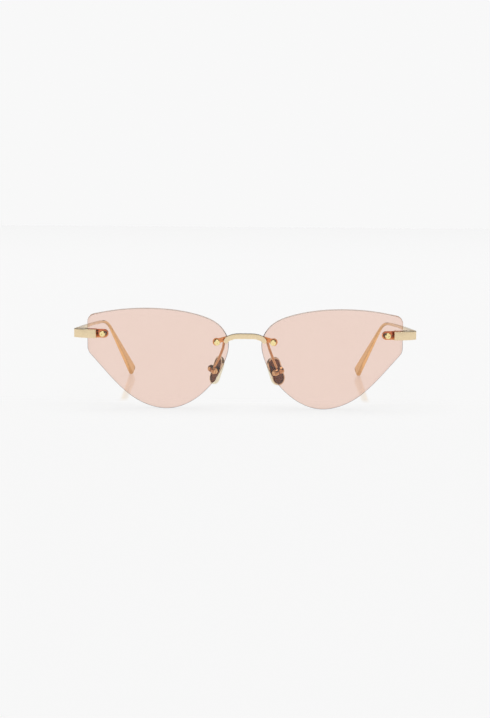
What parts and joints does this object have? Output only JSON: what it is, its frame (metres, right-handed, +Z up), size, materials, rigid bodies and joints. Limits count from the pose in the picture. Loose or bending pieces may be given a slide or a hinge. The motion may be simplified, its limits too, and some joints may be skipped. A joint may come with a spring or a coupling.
{
  "type": "rimless cat eye sunglasses",
  "caption": "Rimless cat eye sunglasses with drilled tinted lenses, a metal bridge, adjustable nose pads and folding temples.",
  "frame": {"origin": "middle of the footprint at table height, with the glasses standing open on their lens bottoms and temple tips", "axes": "+X to the wearer's left, +Y from the lenses back to the temple tips, +Z up"},
  "size_m": [0.1434, 0.1416, 0.0422],
  "materials": {
    "frame_gold": "satin pale gold plating with a fine milled grain",
    "temple_gold": "satin gold plating",
    "hinge_gold": "satin gold plating",
    "arm_gold": "polished gold plating",
    "bolt_gold": "polished yellow gold plating",
    "screw_gold": "polished gold plating",
    "pad_gold": "polished pale gold plating",
    "dish_bronze": "dark bronze lacquer",
    "lens_tint": "polished, tinted pale pink",
    "clear_nylon": "clear moulded nylon"
  },
  "bodies": {
    "front": {"bridge": "frame_gold", "lens_left": "lens_tint", "lens_right": "lens_tint", "nasal_bolt_left": "bolt_gold", "nasal_bolt_right": "bolt_gold", "nasal_sleeve_left": "clear_nylon", "nasal_sleeve_right": "clear_nylon", "nasal_washers_left": "clear_nylon", "nasal_washers_right": "clear_nylon", "nasal_nut_left": "screw_gold", "nasal_nut_right": "screw_gold", "temporal_bolt_left": "bolt_gold", "temporal_bolt_right": "bolt_gold", "temporal_sleeve_left": "clear_nylon", "temporal_sleeve_right": "clear_nylon", "temporal_washers_left": "clear_nylon", "temporal_washers_right": "clear_nylon", "temporal_nut_left": "screw_gold", "temporal_nut_right": "screw_gold", "end_piece_left": "frame_gold", "end_piece_right": "frame_gold", "hinge_front_left": "hinge_gold", "hinge_front_right": "hinge_gold", "hinge_screw_left": "screw_gold", "hinge_screw_right": "screw_gold", "hinge_washers_left": "clear_nylon", "hinge_washers_right": "clear_nylon", "pad_arm_left": "arm_gold", "pad_arm_right": "arm_gold", "pad_box_left": "arm_gold", "pad_box_right": "arm_gold", "pad_screw_left": "screw_gold", "pad_screw_right": "screw_gold"},
    "temple_left": {"temple_left": "temple_gold", "hinge_rear_left": "hinge_gold"},
    "nose_pad_left": {"nose_pad_left": "pad_gold", "pad_dish_left": "dish_bronze", "pad_post_left": "arm_gold"},
    "temple_right": {"temple_right": "temple_gold", "hinge_rear_right": "hinge_gold"},
    "nose_pad_right": {"nose_pad_right": "pad_gold", "pad_dish_right": "dish_bronze", "pad_post_right": "arm_gold"}
  },
  "joints": [
    {"name": "temple_left_fold", "type": "hinge", "parent": "front", "child": "temple_left", "pos_m": [0.0676, -0.0579, 0.0311], "axis": [0, 0, 1], "range_deg": [0, 85]},
    {"name": "temple_right_fold", "type": "hinge", "parent": "front", "child": "temple_right", "pos_m": [-0.0676, -0.0579, 0.0311], "axis": [0, 0, -1], "range_deg": [0, 74]},
    {"name": "nose_pad_left_rock", "type": "hinge", "parent": "front", "child": "nose_pad_left", "pos_m": [0.01413, -0.05931, 0.01543], "axis": [0.7883, 0.5338, 0.306], "range_deg": [-12, 12]},
    {"name": "nose_pad_right_rock", "type": "hinge", "parent": "front", "child": "nose_pad_right", "pos_m": [-0.01362, -0.05857, 0.01592], "axis": [-0.46, 0.856, 0.2358], "range_deg": [-12, 12]}
  ]
}
